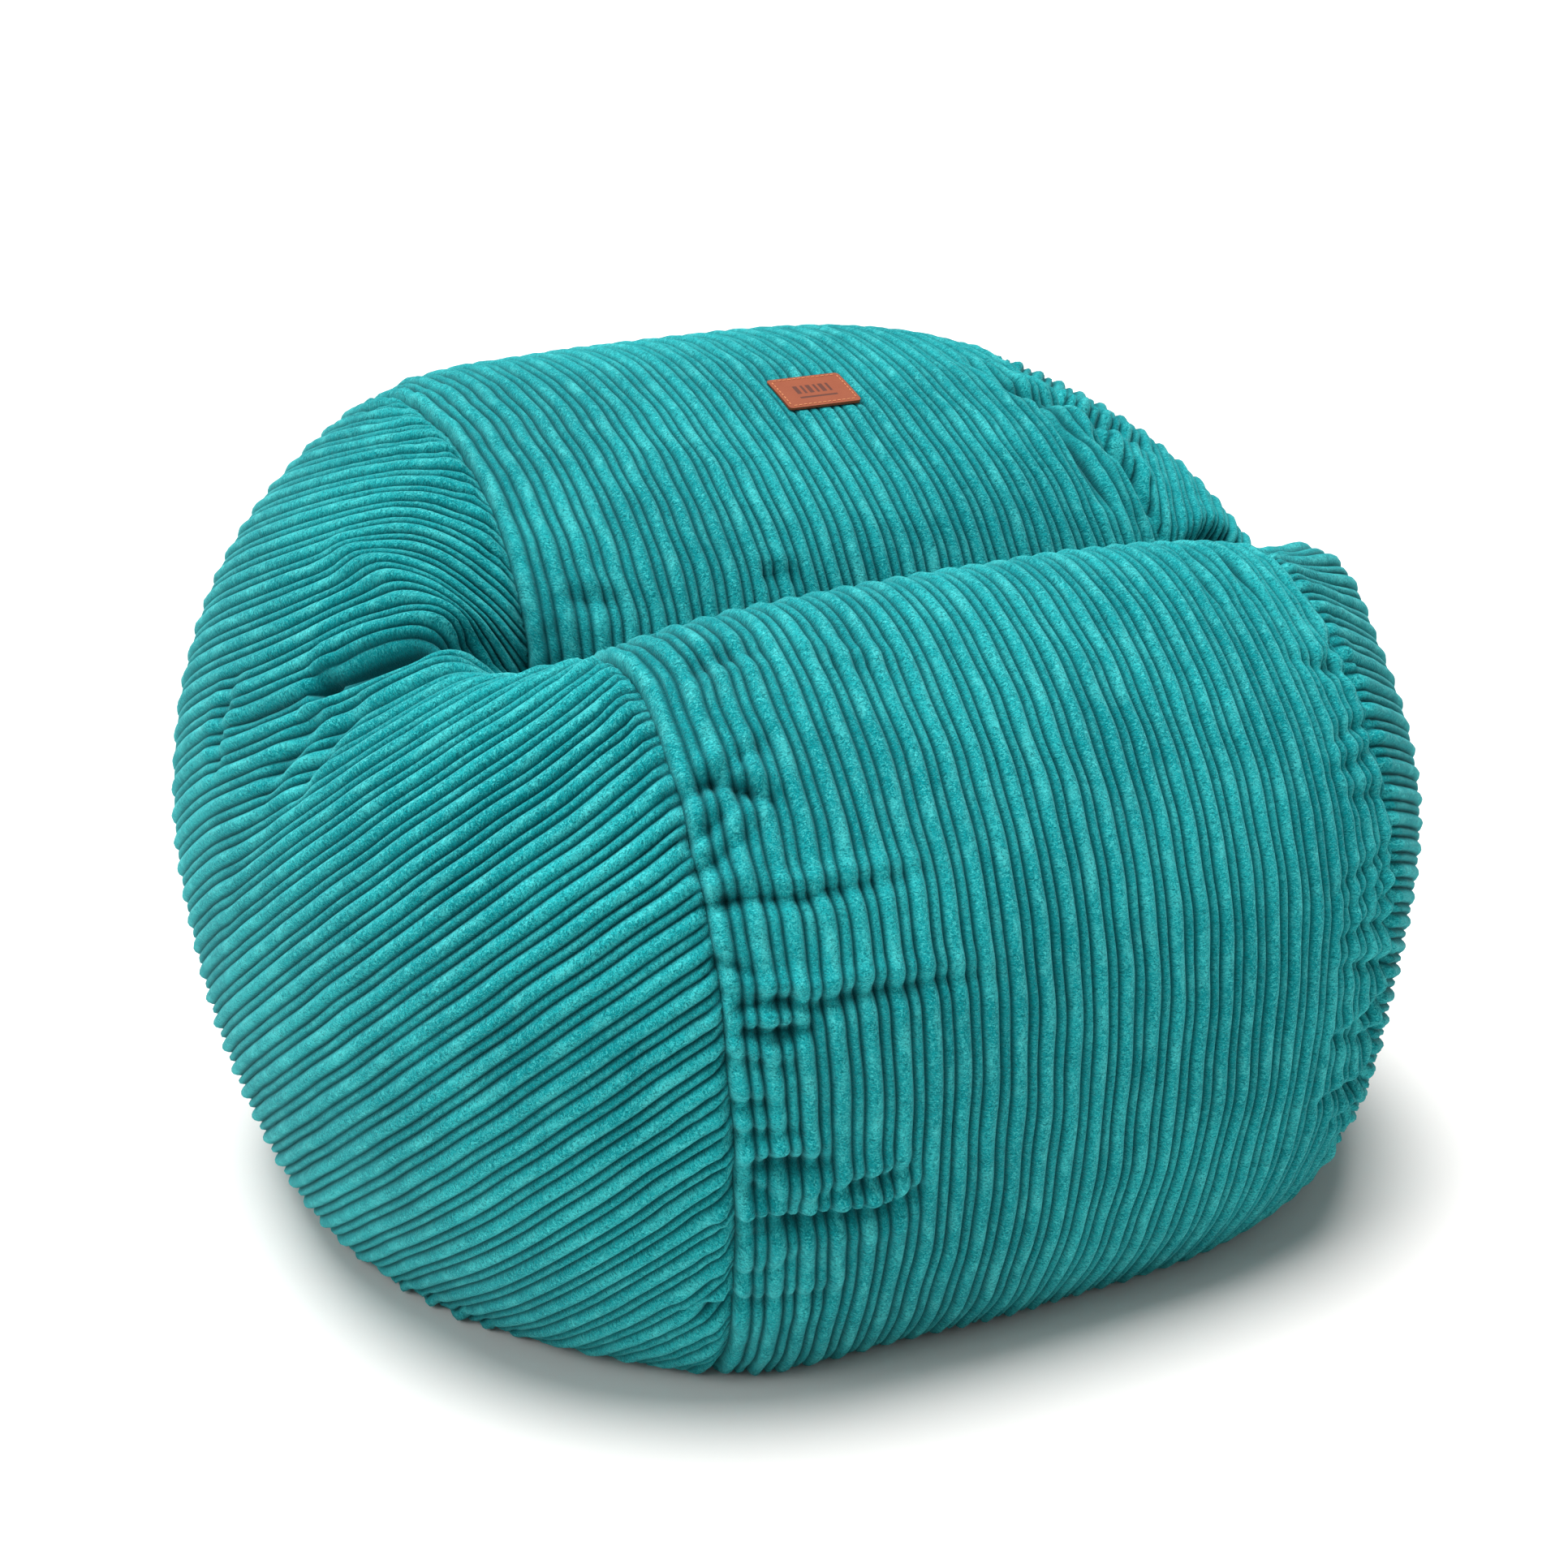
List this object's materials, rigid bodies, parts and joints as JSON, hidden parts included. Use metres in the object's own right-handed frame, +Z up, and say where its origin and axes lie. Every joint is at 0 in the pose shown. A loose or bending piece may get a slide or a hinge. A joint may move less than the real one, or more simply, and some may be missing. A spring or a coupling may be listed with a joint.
{
  "type": "bean bag chair",
  "caption": "Foam-filled bean bag chair: a folded mattress in a ribbed cover forms a low seat lobe and a taller back lobe, with a zip across the lower back.",
  "frame": {"origin": "middle of the footprint's box, on the floor", "axes": "+Z up, -Y to the front where the seat lobe is, +X to the right seen from the front"},
  "size_m": [1.1562, 1.0394, 0.7542],
  "materials": {
    "ribbed_plush": "thick and thin ribs of soft teal pile with a low sheen",
    "base_cloth": "plain dark woven cloth",
    "zip_tape": "flat herringbone woven tape",
    "zip_teeth": "moulded, satin",
    "zip_metal": "nickel-plated die casting",
    "label_leather": "smooth orange leather with a pressed motif",
    "label_thread": "waxed thread",
    "case_cloth": "white brushed microfibre",
    "foam": "shredded soft foam"
  },
  "bodies": {
    "bag": {"cover_wrap_panel": "ribbed_plush", "cover_lower_back_panel": "ribbed_plush", "cover_left_end_panel": "ribbed_plush", "cover_right_end_panel": "ribbed_plush", "cover_base_panel": "base_cloth", "zip_upper_tape": "zip_tape", "zip_lower_tape": "zip_tape", "zip_upper_teeth": "zip_teeth", "zip_lower_teeth": "zip_teeth", "zip_end_stops": "zip_teeth", "label_patch": "label_leather", "label_stitching": "label_thread", "mattress_case_left_end": "case_cloth", "mattress_case_middle": "case_cloth", "mattress_case_right_end": "case_cloth", "foam_fill_seat_half": "foam", "foam_fill_back_half": "foam"},
    "slider": {"zip_slider": "zip_metal"},
    "pull": {"zip_pull": "zip_metal"}
  },
  "joints": [
    {"name": "zip_slider_travel", "type": "hinge", "parent": "bag", "child": "slider", "pos_m": [0, -1.09732, 0.64181], "axis": [0, -0.3033, -0.9529], "range_deg": [0, 16.4]},
    {"name": "zip_pull_swing", "type": "hinge", "parent": "slider", "child": "pull", "pos_m": [-0.23313, 0.44273, 0.15165], "axis": [0, 0.3033, 0.9529], "range_deg": [0, 165]}
  ]
}
